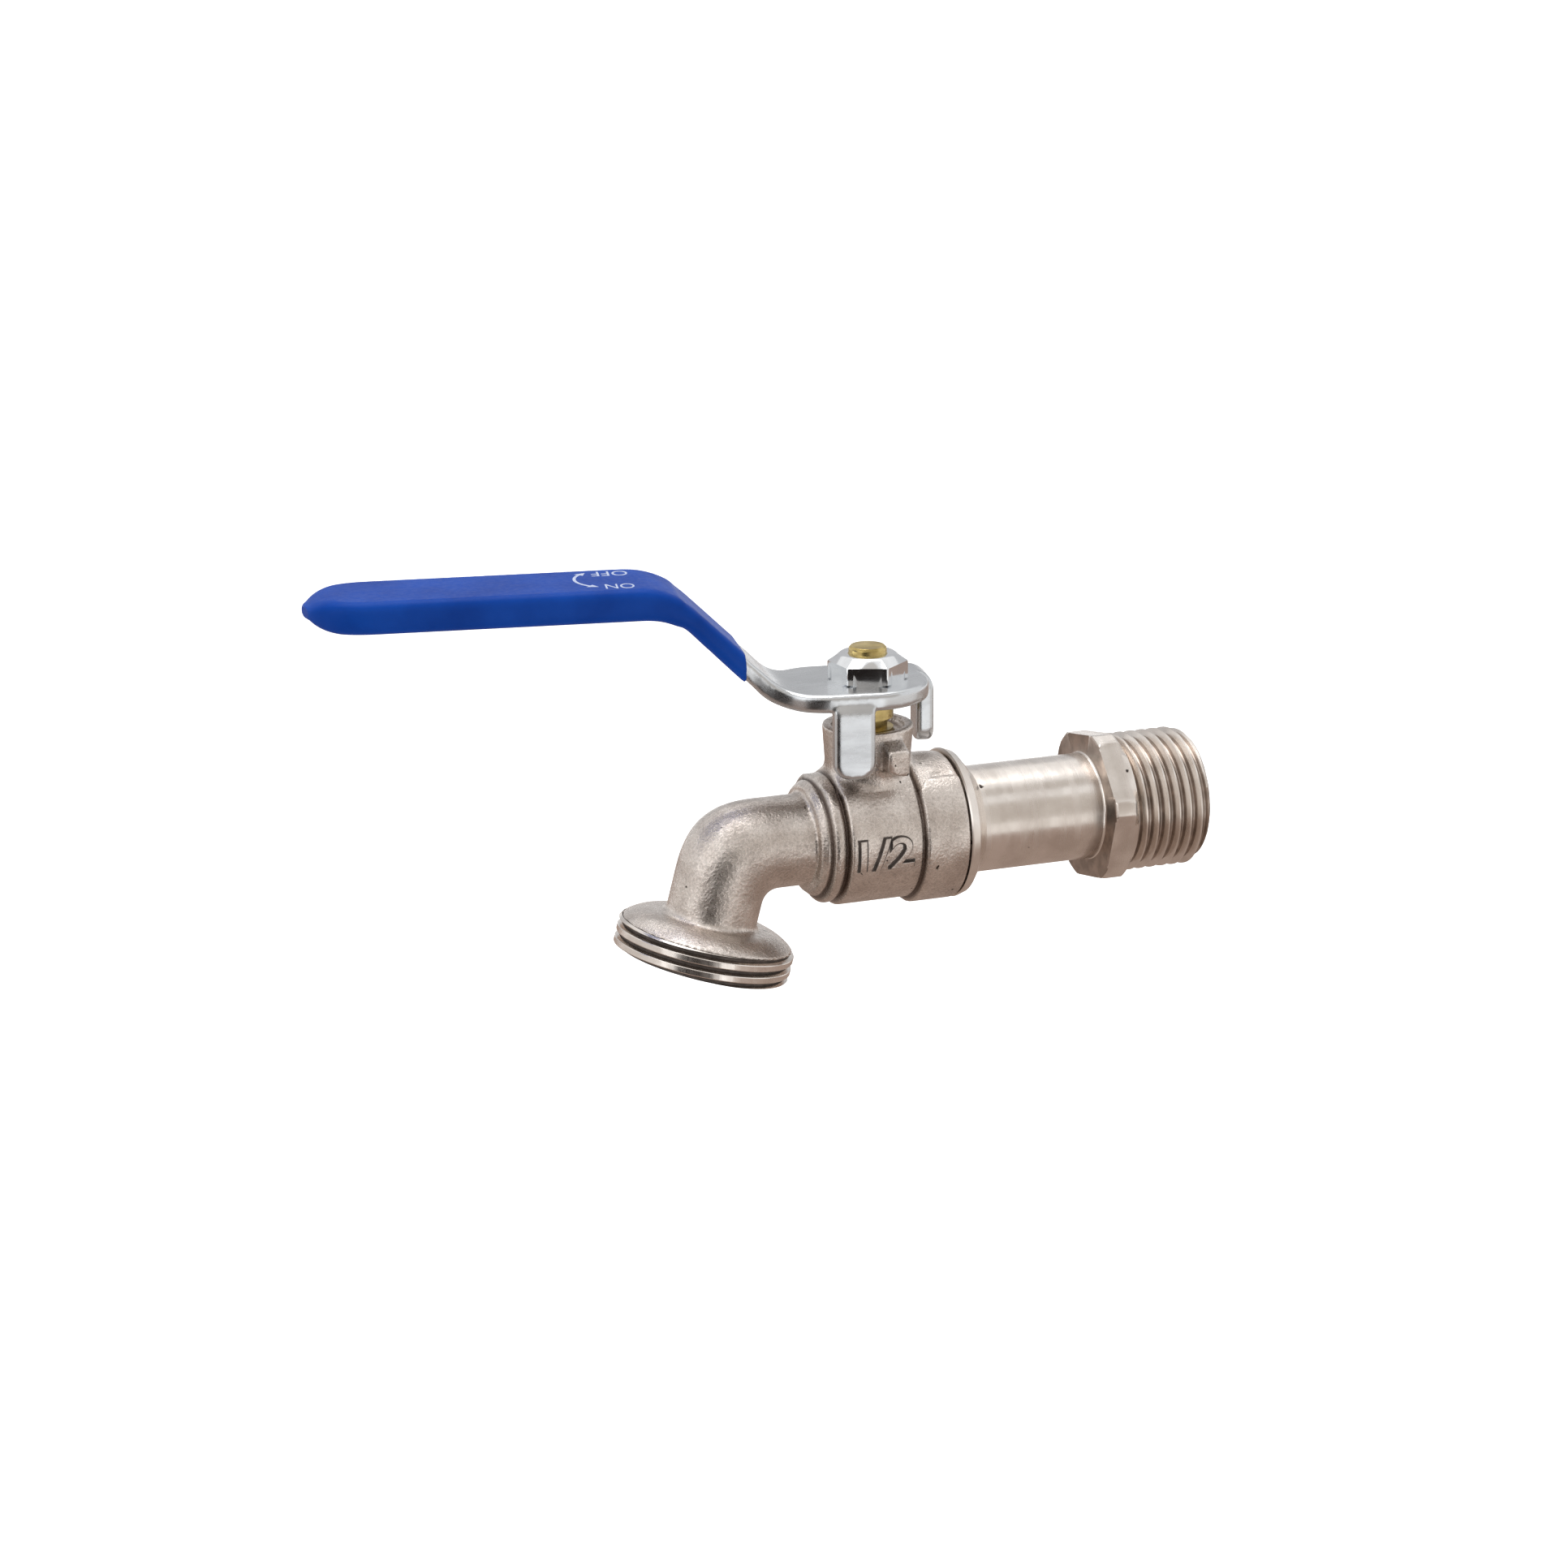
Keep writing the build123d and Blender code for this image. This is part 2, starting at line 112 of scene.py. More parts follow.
def grain(material, place, scale, detail, rough=0.55, stretch=None):
    noise = addNode(material, "ShaderNodeTexNoise",
                    {"Scale": scale, "Detail": detail, "Roughness": rough})
    if stretch:
        mapping = addNode(material, "ShaderNodeMapping", {"Scale": stretch})
        join(material, place, "Object", mapping, "Vector")
        join(material, mapping, "Vector", noise, "Vector")
    else:
        join(material, place, "Object", noise, "Vector")
    return noise


def ramp(material, source, stops):
    made = addNode(material, "ShaderNodeValToRGB")
    band = made.color_ramp
    while len(band.elements) < len(stops):
        band.elements.new(0.5)
    for element, (position, color) in zip(band.elements, stops):
        element.position = position
        element.color = (*color, 1.0)
    join(material, source, 0, made, "Fac")
    return made


def grey(level):
    return (level, level, level)


def mixColors(material, factor, first, second, blend="MIX"):
    made = addNode(material, "ShaderNodeMix", data_type="RGBA", blend_type=blend)
    for entry, source in ((0, factor), (6, first), (7, second)):
        if isinstance(source, bpy.types.NodeSocket):
            material.node_tree.links.new(source, made.inputs[entry])
        else:
            made.inputs[entry].default_value = (*source, 1.0) if isinstance(source, tuple) else source
    return made


def bump(material, height, distance, strength, before=None):
    made = addNode(material, "ShaderNodeBump", {"Strength": strength, "Distance": distance})
    join(material, height, 0, made, "Height")
    if before:
        join(material, before, "Normal", made, "Normal")
    return made


def calc(material, operation, first, second=0.0):
    made = addNode(material, "ShaderNodeMath", operation=operation)
    for entry, source in enumerate((first, second)):
        if isinstance(source, bpy.types.NodeSocket):
            material.node_tree.links.new(source, made.inputs[entry])
        else:
            made.inputs[entry].default_value = source
    return made.outputs[0]


def fade(material, source, start, end):
    # one at the start, nought at the end
    made = addNode(material, "ShaderNodeMapRange",
                   {"From Min": start, "From Max": end, "To Min": 1.0, "To Max": 0.0})
    material.node_tree.links.new(source, made.inputs["Value"])
    return made.outputs[0]


def grooveShadeMask(material, place, grooves, half, reach):
    # painted shade: dark rings about the body's long axis at the grooves, no farther out than the barrel
    split = addNode(material, "ShaderNodeSeparateXYZ")
    join(material, place, "Object", split, 0)
    across, upward = split.outputs[1], split.outputs[2]
    square = calc(material, "ADD", calc(material, "MULTIPLY", across, across),
                  calc(material, "MULTIPLY", upward, upward))
    mask = 0.0
    for groove in grooves:
        shift = calc(material, "SUBTRACT", split.outputs[0], ballCentre.x + groove * mm)
        off = calc(material, "ABSOLUTE", shift)
        mask = calc(material, "MAXIMUM", fade(material, off, half[0] * mm, half[1] * mm), mask)
    radius = calc(material, "SQRT", square)
    return calc(material, "MULTIPLY", mask, fade(material, radius, reach[0] * mm, reach[1] * mm))


# finishes

def nickelCastFinish():
    spec = {"pale": (0.73, 0.665, 0.615), "dull": (0.57, 0.505, 0.46), "pit": (0.05, 0.042, 0.036),
            "grooveShade": (0.13, 0.10, 0.085), "grooveHalf": (0.10, 0.34), "grooveReach": (11.2, 11.5),
            "sandScale": 2600, "patchScale": 220, "pitScale": 800,
            "sandDepth": 0.00016, "patchDepth": 0.0009}
    material, shader, place = newFinish("nickel_cast", 1.0, 0.34)
    sand = grain(material, place, spec["sandScale"], 5.0, 0.6)
    patch = grain(material, place, spec["patchScale"], 3.0)
    pits = grain(material, place, spec["pitScale"], 2.0, 0.4)
    tone = ramp(material, patch, [(0.35, spec["dull"]), (0.62, spec["pale"])])
    speck = ramp(material, sand, [(0.3, grey(0.72)), (0.55, grey(1.0))])
    speckled = mixColors(material, 1.0, tone.outputs[0], speck.outputs[0], "MULTIPLY")
    pitted = ramp(material, pits, [(0.745, grey(0.0)), (0.765, grey(1.0))])
    unshaded = mixColors(material, pitted.outputs[0], speckled.outputs[2], spec["pit"])
    # painted shade darkens the body in its grooves between chamber, collar and beads
    grooveShaded = grooveShadeMask(material, place, castGrooves, spec["grooveHalf"], spec["grooveReach"])
    colour = mixColors(material, grooveShaded, unshaded.outputs[2], spec["grooveShade"])
    join(material, colour, 2, shader, "Base Color")
    sheen = ramp(material, sand, [(0.3, grey(0.36)), (0.7, grey(0.22))])
    join(material, sheen, 0, shader, "Roughness")
    rolling = bump(material, patch, spec["patchDepth"], 0.25)
    sandy = bump(material, sand, spec["sandDepth"], 0.55, rolling)
    join(material, sandy, "Normal", shader, "Normal")
    return material


def nickelTurnedFinish():
    spec = {"pale": (0.80, 0.745, 0.695), "dull": (0.66, 0.60, 0.55), "pit": (0.06, 0.05, 0.045),
            "patchScale": 160, "pitScale": 520, "ringScale": 900, "ringDepth": 0.00005}
    material, shader, place = newFinish("nickel_turned", 1.0, 0.30)
    patch = grain(material, place, spec["patchScale"], 4.0)
    tone = ramp(material, patch, [(0.35, spec["dull"]), (0.6, spec["pale"])])
    pits = grain(material, place, spec["pitScale"], 2.0, 0.4)
    pitted = ramp(material, pits, [(0.76, grey(0.0)), (0.79, grey(1.0))])
    colour = mixColors(material, pitted.outputs[0], tone.outputs[0], spec["pit"])
    join(material, colour, 2, shader, "Base Color")
    # lathe marks: fine along the axis, long round it
    rings = grain(material, place, spec["ringScale"], 2.0, 0.5, (1.0, 0.06, 0.06))
    sheen = ramp(material, rings, [(0.3, grey(0.32)), (0.7, grey(0.20))])
    join(material, sheen, 0, shader, "Roughness")
    turned = bump(material, rings, spec["ringDepth"], 0.5)
    join(material, turned, "Normal", shader, "Normal")
    return material


def platedSteelFinish():
    spec = {"pale": (0.64, 0.655, 0.67), "dull": (0.54, 0.555, 0.57),
            "cloudScale": 90, "scratchScale": 700, "scratchDepth": 0.00001}
    material, shader, place = newFinish("plated_steel", 1.0, 0.26)
    cloud = grain(material, place, spec["cloudScale"], 4.0)
    tone = ramp(material, cloud, [(0.35, spec["dull"]), (0.6, spec["pale"])])
    join(material, tone, 0, shader, "Base Color")
    scratch = grain(material, place, spec["scratchScale"], 3.0, 0.6, (0.12, 1.0, 1.0))
    sheen = ramp(material, scratch, [(0.35, grey(0.30)), (0.65, grey(0.23))])
    join(material, sheen, 0, shader, "Roughness")
    worn = bump(material, scratch, spec["scratchDepth"], 0.4)
    join(material, worn, "Normal", shader, "Normal")
    return material


def blueVinylFinish():
    spec = {"deep": (0.003, 0.054, 0.36), "bright": (0.006, 0.078, 0.47),
            "cloudScale": 90, "skinScale": 1200, "skinDepth": 0.00004}
    material, shader, place = newFinish("blue_vinyl", 0.0, 0.38)
    cloud = grain(material, place, spec["cloudScale"], 3.0)
    tone = ramp(material, cloud, [(0.35, spec["deep"]), (0.65, spec["bright"])])
    join(material, tone, 0, shader, "Base Color")
    skin = grain(material, place, spec["skinScale"], 3.0)
    sheen = ramp(material, skin, [(0.3, grey(0.44)), (0.7, grey(0.34))])
    join(material, sheen, 0, shader, "Roughness")
    soft = bump(material, skin, spec["skinDepth"], 0.35)
    join(material, soft, "Normal", shader, "Normal")
    shader.inputs["Specular IOR Level"].default_value = 0.08
    return material


def bareBrassFinish():
    spec = {"pale": (0.66, 0.52, 0.23), "dull": (0.40, 0.30, 0.11),
            "cloudScale": 300, "cutScale": 1500, "cutDepth": 0.00006}
    material, shader, place = newFinish("bare_brass", 1.0, 0.3)
    cloud = grain(material, place, spec["cloudScale"], 4.0)
    tone = ramp(material, cloud, [(0.35, spec["dull"]), (0.62, spec["pale"])])
    join(material, tone, 0, shader, "Base Color")
    cuts = grain(material, place, spec["cutScale"], 2.0, 0.5, (0.1, 1.0, 1.0))
    sheen = ramp(material, cuts, [(0.3, grey(0.42)), (0.7, grey(0.24))])
    join(material, sheen, 0, shader, "Roughness")
    turned = bump(material, cuts, spec["cutDepth"], 0.5)
    join(material, turned, "Normal", shader, "Normal")
    return material


def plainFinish(name, pale, dull, metallic, roughness, scale):
    material, shader, place = newFinish(name, metallic, roughness)
    cloud = grain(material, place, scale, 3.0)
    tone = ramp(material, cloud, [(0.35, dull), (0.65, pale)])
    join(material, tone, 0, shader, "Base Color")
    sheen = ramp(material, cloud, [(0.3, grey(roughness + 0.06)), (0.7, grey(roughness - 0.04))])
    join(material, sheen, 0, shader, "Roughness")
    return material


finishes = {
    "nickel_cast": nickelCastFinish(),
    "nickel_turned": nickelTurnedFinish(),
    "plated_steel": platedSteelFinish(),
    "blue_vinyl": blueVinylFinish(),
    "bare_brass": bareBrassFinish(),
    "chromed_ball": plainFinish("chromed_ball", (0.78, 0.79, 0.80), (0.7, 0.71, 0.72), 1.0, 0.1, 200),
    "white_ptfe": plainFinish("white_ptfe", (0.82, 0.82, 0.80), (0.74, 0.74, 0.72), 0.0, 0.5, 300),
    "black_rubber": plainFinish("black_rubber", (0.022, 0.022, 0.023), (0.012, 0.012, 0.013), 0.0, 0.6, 400),
}
# dark finish painted as shade in thread valleys and on the cast mark's sides and outline
paintedShade = plainFinish("painted_shade", (0.13, 0.10, 0.085), (0.07, 0.055, 0.045), 0.1, 0.6, 700)
# darker nickel painted as shade in the inlet thread's valleys and on the hexagon's face towards the tube
shadedNickel = plainFinish("shaded_nickel", (0.46, 0.385, 0.335), (0.30, 0.25, 0.215), 1.0, 0.32, 500)
printInk = plainFinish("print_ink", (0.72, 0.78, 0.95), (0.55, 0.64, 0.9), 0.0, 0.45, 900)
print("finishes ready:", len(finishes) + 3)


# pieces

weld = 0.002 * mm  # points closer than this are one


def cadCopy(node):
    bm = bmesh.new()
    bm.from_mesh(frame["nodes"][node].data)
    bmesh.ops.remove_doubles(bm, verts=bm.verts, dist=weld)
    return bm


def refinish(piece, slot):
    piece.data.materials.clear()
    piece.data.materials.append(finishes[slot])


def addPiece(name, bm, slot, body, stands=(), finish=None, sharp=32):
    mesh = bpy.data.meshes.new(name)
    bm.to_mesh(mesh)
    bm.free()
    if "custom_normal" in mesh.attributes:
        mesh.attributes.remove(mesh.attributes["custom_normal"])
    mesh.materials.clear()
    mesh.materials.append(finish or finishes[slot])
    mesh.shade_smooth()
    mesh.set_sharp_from_angle(angle=math.radians(sharp))
    piece = bpy.data.objects.new(name, mesh)
    scene.collection.objects.link(piece)
    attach(piece, body)
    if stands:
        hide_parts(*stands)
    return piece


def settle(piece):
    # takes the modifiers' result as the piece's own mesh
    ready = bpy.data.meshes.new_from_object(piece.evaluated_get(bpy.context.evaluated_depsgraph_get()))
    piece.modifiers.clear()
    piece.data = ready
    ready.shade_smooth()
    return piece


def soften(piece, skin, passes):
    remesh = piece.modifiers.new("skin", "REMESH")
    remesh.mode = "VOXEL"
    remesh.voxel_size = skin
    smooth = piece.modifiers.new("soft", "SMOOTH")
    smooth.factor = 0.5
    smooth.iterations = passes
    return settle(piece)


def withNormals(piece):
    # vertices paired with their normals, read before any vertex moves
    return list(zip(piece.data.vertices, [vert.normal.copy() for vert in piece.data.vertices]))


def ease(value, low, high):
    share = min(1.0, max(0.0, (value - low) / (high - low)))
    return share * share * (3 - 2 * share)


def paintShadeOn(piece, finish, isShaded):
    # the chosen faces get a second, darker finish: painted shade
    piece.data.materials.append(finish)
    for face in piece.data.polygons:
        face.material_index = int(isShaded(face))


def axisFrame(origin, direction):
    turn = Vector((0, 0, 1)).rotation_difference(Vector(direction))
    return Matrix.Translation(origin) @ turn.to_matrix().to_4x4()


def screwThread(spec):
    # one pitch of the profile is screwed round Z, trimmed to length and closed
    pitch, root, crest, steps = spec["pitch"], spec["root"], spec["crest"], spec["steps"]
    end = spec["length"] - spec["short"]
    profile = [(part, root + share * (crest - root)) for part, share in spec["form"]]
    turns = math.ceil(end / pitch) + 2
    bm = bmesh.new()
    line = [bm.verts.new((radius, 0, (part - 1.5) * pitch)) for part, radius in profile]
    edges = [bm.edges.new(pair) for pair in zip(line, line[1:])]
    bmesh.ops.spin(bm, geom=line + edges, cent=(0, 0, 0), axis=(0, 0, 1), dvec=(0, 0, pitch / steps),
                   angle=2 * math.pi * turns, steps=steps * turns)
    bmesh.ops.remove_doubles(bm, verts=bm.verts, dist=2 * weld)
    for height, side in ((0.0, -1), (end, 1)):
        bmesh.ops.bisect_plane(bm, geom=bm.verts[:] + bm.edges[:] + bm.faces[:], dist=0.0005 * mm,
                               plane_co=(0, 0, height), plane_no=(0, 0, side), clear_outer=True)
    for vert in bm.verts:  # the ends are chamfered
        limit = crest - max(0, spec["startChamfer"] - vert.co.z, spec["endChamfer"] - (end - vert.co.z))
        flat = vert.co.to_2d().length
        if flat > limit:
            vert.co.x *= limit / flat
            vert.co.y *= limit / flat
    rims = [edge for edge in bm.edges if edge.is_boundary]
    walls = bmesh.ops.extrude_edge_only(bm, edges=rims)["geom"]
    for vert in [item for item in walls if isinstance(item, bmesh.types.BMVert)]:
        shrink = spec["inside"] / vert.co.to_2d().length
        vert.co.x *= shrink
        vert.co.y *= shrink
    bmesh.ops.bridge_loops(bm, edges=[edge for edge in bm.edges if edge.is_boundary])
    bmesh.ops.recalc_face_normals(bm, faces=bm.faces)
    bm.transform(spec["place"])
    return bm


def turnedHexagon(spec):
    # a profile turned round Z, its outside then cut by six flats
    bm = bmesh.new()
    line = [bm.verts.new((radius * mm, 0, along * mm)) for along, radius in spec["profile"]]
    edges = [bm.edges.new(pair) for pair in zip(line, line[1:] + line[:1])]
    bmesh.ops.spin(bm, geom=line + edges, cent=(0, 0, 0), axis=(0, 0, 1), angle=2 * math.pi,
                   steps=spec["steps"], use_merge=True)
    bmesh.ops.remove_doubles(bm, verts=bm.verts, dist=weld)
    for vert in bm.verts:
        offCorner = (math.degrees(math.atan2(vert.co.y, vert.co.x)) - spec["corner"]) % 60 - 30
        limit = spec["flats"] / 2 * mm / math.cos(math.radians(offCorner))
        flat = vert.co.to_2d().length
        if flat > limit:
            vert.co.x *= limit / flat
            vert.co.y *= limit / flat
    bmesh.ops.recalc_face_normals(bm, faces=bm.faces)
    bm.transform(spec["place"])
    return bm


# hose thread round the outlet
outletMount = mounts["outlet_thread"]
outletAxis = Vector(outletMount["axis"]).normalized()
hoseThread = {"length": 4.45 * mm, "short": 0.02 * mm, "startChamfer": 0.35 * mm, "endChamfer": 0.35 * mm,
              "pitch": 1.81 * mm, "depth": 0.9 * mm, "overlap": 0.3 * mm, "shadeShare": 0.3, "steps": 120,
              "form": [(0.0, 0.0), (0.10, 0.0), (0.16, 0.25), (0.24, 0.92), (0.30, 1.0),
                       (0.70, 1.0), (0.76, 0.92), (0.84, 0.25), (0.90, 0.0), (1.0, 0.0)]}
hoseCrest = outletMount["dims"]["r_mm"] * mm
hoseRoot = hoseCrest - hoseThread["depth"]
rimCentre = Vector(outletMount["pos_m"]) - outletAxis * (hoseThread["length"] / 2)
print("outlet rim at", [round(value / mm, 3) for value in rimCentre])


def outletRadius(point):
    away = point - rimCentre
    return (away - outletAxis * away.dot(outletAxis)).length


# cast body: a merged copy of the solid, drawn in under the hose thread, then softened as a casting
castBody = {"skin": 0.25 * mm, "passes": 4, "most": 180000, "underThread": hoseRoot - 0.25 * mm,
            "edge": 0.15 * mm,
            "grooveHalf": 0.45 * mm, "grooveCut": 0.4 * mm, "barrel": (7.0 * mm, 12.0 * mm),
            "bossFoot": 11.2 * mm, "bossSide": (6.0 * mm, 6.4 * mm), "bossRadius": 6.75 * mm,
            "jointSmooth": 60, "jointHeight": (8.0 * mm, 11.6 * mm), "jointRadius": (5.0 * mm, 9.6 * mm),
            "lugTop": 15.7 * mm, "lugFace": 8.0 * mm, "lugBelow": 2 * mm, "lugAbove": 0.1 * mm,
            "lugShoulder": 1.5 * mm, "lugLower": 1.1 * mm, "lugFoot": 0.4 * mm}


def makeCastBody(spec):
    bm = cadCopy("body")
    for vert in bm.verts:
        along = (vert.co - rimCentre).dot(outletAxis)
        out = (vert.co - rimCentre) - outletAxis * along
        if spec["edge"] < along and out.length > spec["underThread"]:
            vert.co -= out.normalized() * (out.length - spec["underThread"])
        flat = (vert.co - ballCentre).to_2d()
        if vert.co.z > spec["bossFoot"] and spec["bossSide"][0] < flat.length < spec["bossSide"][1]:
            vert.co += (flat.normalized() * (spec["bossRadius"] - flat.length)).to_3d()
        elif (spec["bossFoot"] - spec["lugBelow"] < vert.co.z < spec["lugTop"] + spec["lugAbove"]
              and flat.length > spec["lugFace"]):
            isUpper = vert.co.z > spec["lugTop"] - spec["lugShoulder"]
            vert.co.z -= spec["lugLower"] if isUpper else spec["lugFoot"]
    piece = addPiece("castBody", bm, "nickel_cast", "body", ["body"])
    soften(piece, spec["skin"], spec["passes"])
    bm = bmesh.new()
    bm.from_mesh(piece.data)
    foot, top = spec["jointHeight"]
    inner, outer = spec["jointRadius"]
    joint = [vert for vert in bm.verts if foot < vert.co.z < top
             and inner < (vert.co - ballCentre).to_2d().length < outer]
    for _ in range(spec["jointSmooth"]):  # the boss runs into the chamber
        bmesh.ops.smooth_vert(bm, verts=joint, factor=0.5, use_axis_x=True, use_axis_y=True, use_axis_z=True)
    for vert in bm.verts:  # the grooves between chamber, collar and beads, crisper than the skin left them
        flat = math.hypot(vert.co.y, vert.co.z)
        if spec["barrel"][0] < flat < spec["barrel"][1]:
            nearest = min(abs(vert.co.x - ballCentre.x - groove * mm) for groove in castGrooves)
            off = nearest / spec["grooveHalf"]
            if off < 1:
                sink = spec["grooveCut"] * math.cos(off * math.pi / 2) ** 2
                vert.co.y *= 1 - sink / flat
                vert.co.z *= 1 - sink / flat
    bmesh.ops.triangulate(bm, faces=bm.faces)
    bm.to_mesh(piece.data)
    bm.free()
    fewer = piece.modifiers.new("fewer", "DECIMATE")
    fewer.ratio = min(1.0, spec["most"] / len(piece.data.polygons))
    settle(piece)
    refinish(piece, "nickel_cast")
    return piece


body = makeCastBody(castBody)
print("cast body:", len(body.data.polygons), "faces")

outletBand = addPiece("outletBand", screwThread({
    **hoseThread, "root": hoseRoot, "crest": hoseCrest,
    "inside": castBody["underThread"] - hoseThread["overlap"],
    "place": axisFrame(rimCentre, outletAxis)}), "nickel_turned", "body")
hoseValley = hoseRoot + hoseThread["shadeShare"] * hoseThread["depth"]
# painted shade: the thread's valleys take the dark finish
paintShadeOn(outletBand, paintedShade, lambda face: outletRadius(face.center) < hoseValley)
print("outlet band:", len(outletBand.data.polygons), "faces")


# tailpiece: a merged copy drawn in under pipe thread and hexagon, and those two themselves
pipeThread = {"length": 12.2 * mm, "short": 0.02 * mm, "startChamfer": 0.3 * mm, "endChamfer": 1.0 * mm,
              "pitch": 1.814 * mm, "depth": 1.25 * mm, "cover": 0.25 * mm, "overlap": 0.5 * mm,
              "valleyShare": 0.35, "steps": 120,
              "form": [(0.0, 0.0), (0.12, 0.06), (0.26, 0.34), (0.41, 0.94), (0.44, 1.0),
                       (0.56, 1.0), (0.59, 0.94), (0.74, 0.34), (0.88, 0.06), (1.0, 0.0)]}
pipeCrest = mounts["inlet_thread"]["dims"]["r_mm"] * mm
pipeRoot = pipeCrest - pipeThread["depth"]

# the hexagon at its angle in the photo, round the tube's end
inletHexagon = {"flats": 21.6, "corner": 18.6, "steps": 288, "sharp": 28, "shadedFacing": -0.9,
                "start": -3.65 * mm, "end": 0.005 * mm, "core": 7.6 * mm, "least": 0.5 * mm,
                "profile": [(-4.75, 7.0), (-4.75, 8.0), (-4.58, 8.05), (-4.45, 8.18), (-4.4, 8.35),
                            (-4.4, 11.35), (-4.3, 11.65), (-4.05, 11.9), (-1.35, 11.95), (-1.1, 11.8),
                            (-0.1, 10.6), (0.0, 10.4), (0.0, 7.0)],
                "place": axisFrame((0, 0, 0), (1, 0, 0))}


def makeTailpiece(spec):
    bm = cadCopy("tailpiece")
    for vert in bm.verts:
        flat = math.hypot(vert.co.y, vert.co.z)
        core = spec["core"] if vert.co.x <= spec["end"] else pipeRoot - pipeThread["cover"]
        if vert.co.x > spec["start"] and flat > core + spec["least"]:
            vert.co.y *= core / flat
            vert.co.z *= core / flat
    addPiece("tailpieceTurned", bm, "nickel_turned", "body", ["tailpiece"])


makeTailpiece(inletHexagon)
inletBand = addPiece("inletBand", screwThread({
    **pipeThread, "root": pipeRoot, "crest": pipeCrest, "inside": pipeRoot - pipeThread["overlap"],
    "place": inletHexagon["place"]}), "nickel_turned", "body")
inletNut = addPiece("inletHexagon", turnedHexagon(inletHexagon), "nickel_turned", "body",
                    sharp=inletHexagon["sharp"])
pipeValley = pipeRoot + pipeThread["valleyShare"] * pipeThread["depth"]
# painted shade: the inlet thread's valleys and the hexagon's face turned to the tube are darker
paintShadeOn(inletBand, shadedNickel, lambda face: math.hypot(face.center.y, face.center.z) < pipeValley)
paintShadeOn(inletNut, shadedNickel, lambda face: face.normal.x < inletHexagon["shadedFacing"])
print("tailpiece, hexagon and inlet band ready")


# stamped lever, its cut edges rolled over
leverSpec = {"skin": 0.26 * mm, "passes": 8, "swell": 0.16 * mm, "bareFrom": (-19.0 * mm, -16.0 * mm)}
lever = soften(addPiece("leverPlate", cadCopy("lever"), "plated_steel", "handle", ["lever"]),
               leverSpec["skin"], leverSpec["passes"])
for vert, normal in withNormals(lever):  # the bare end is a little thicker than under the sleeve
    vert.co += normal * leverSpec["swell"] * ease(vert.co.x - ballCentre.x, *leverSpec["bareFrom"])
refinish(lever, "plated_steel")

# nut with its top turned off round the corners
nutSpec = {"flats": 10.3, "corner": -82.0, "steps": 288, "sharp": 28, "bottom": 23.4 * mm,
           "profile": [(0.0, 2.6), (0.0, 5.4), (0.25, 5.95), (2.6, 5.95), (2.8, 5.85),
                       (3.7, 4.45), (3.9, 4.2), (4.0, 3.9), (4.0, 3.05), (3.7, 2.6)]}
nutSpec["place"] = Matrix.Translation(ballCentre + Vector((0, 0, nutSpec["bottom"])))
nutPlating = plainFinish("nut_plating", (0.80, 0.81, 0.82), (0.70, 0.71, 0.72), 1.0, 0.12, 300)
addPiece("leverNut", turnedHexagon(nutSpec), "plated_steel", "handle", ["lever_nut"], nutPlating,
         nutSpec["sharp"])

# stem, its threaded end standing proud of the nut
stemSpec = {"from": 26.5 * mm, "radius": 2.8 * mm, "proud": 0.35 * mm}


def makeStem(spec):
    bm = cadCopy("stem")
    for vert in bm.verts:
        if vert.co.z - ballCentre.z > spec["from"]:
            flat = (vert.co - ballCentre).to_2d()
            if flat.length > spec["radius"]:
                vert.co += (flat.normalized() * (spec["radius"] - flat.length)).to_3d()
            vert.co.z += spec["proud"]
    addPiece("stemTurned", bm, "bare_brass", "handle", ["stem"])


makeStem(stemSpec)

# dipped sleeve, a little fuller below, where the dip ran
sleeveSpec = {"skin": 0.3 * mm, "passes": 26, "gripFoot": 34.6 * mm, "gripMiddle": 37.9 * mm,
              "run": 0.3 * mm, "swell": 0.26 * mm, "slopeSwell": 0.12 * mm, "slope": (33.0 * mm, 36.5 * mm),
              "sag": 0.2 * mm, "printRoom": 0.03 * mm, "tipLength": 5.4 * mm, "tipLeast": 0.46}


def makeSleeve(spec):
    bm = cadCopy("lever_sleeve")
    for vert in bm.verts:
        if spec["gripFoot"] < vert.co.z < spec["gripMiddle"]:
            vert.co.z -= spec["run"]
    piece = addPiece("gripSleeve", bm, "blue_vinyl", "handle", ["lever_sleeve"])
    soften(piece, spec["skin"], spec["passes"])
    outward = Vector((-math.cos(restTurn), -math.sin(restTurn)))
    reach = max(vert.co.to_2d().dot(outward) for vert in piece.data.vertices)
    for vert, normal in withNormals(piece):
        grip = ease(vert.co.z, *spec["slope"])
        vert.co += normal * (spec["slopeSwell"] + (spec["swell"] - spec["slopeSwell"]) * grip)
        vert.co.z -= spec["sag"] * grip
        inset = (reach - vert.co.to_2d().dot(outward)) / spec["tipLength"]
        if inset < 1:  # the tip is bull nosed
            full = max(spec["tipLeast"], math.sqrt(max(0.0, 1 - (1 - inset) ** 2)))
            vert.co.z = spec["gripMiddle"] + (vert.co.z - spec["gripMiddle"]) * full
        vert.co.x = max(vert.co.x, cadBox[0].x + spec["printRoom"])
        vert.co.y = min(vert.co.y, cadBox[1].y - spec["printRoom"])
        vert.co.z = min(vert.co.z, cadBox[1].z - spec["printRoom"])
    refinish(piece, "blue_vinyl")
    return piece


sleeve = makeSleeve(sleeveSpec)
print("handle pieces ready, sleeve", len(sleeve.data.polygons), "faces")


# the hidden pieces keep their solids
for node, slot in (("ball", "chromed_ball"), ("outlet_seat", "white_ptfe"), ("inlet_seat", "white_ptfe"),
                   ("stem_washer", "white_ptfe"), ("body_seal", "black_rubber"),
                   ("stem_o_ring_lower", "black_rubber"), ("stem_o_ring_upper", "black_rubber")):
    refinish(frame["nodes"][node], slot)


# lettering

capitalShare = 0.7  # of the font size


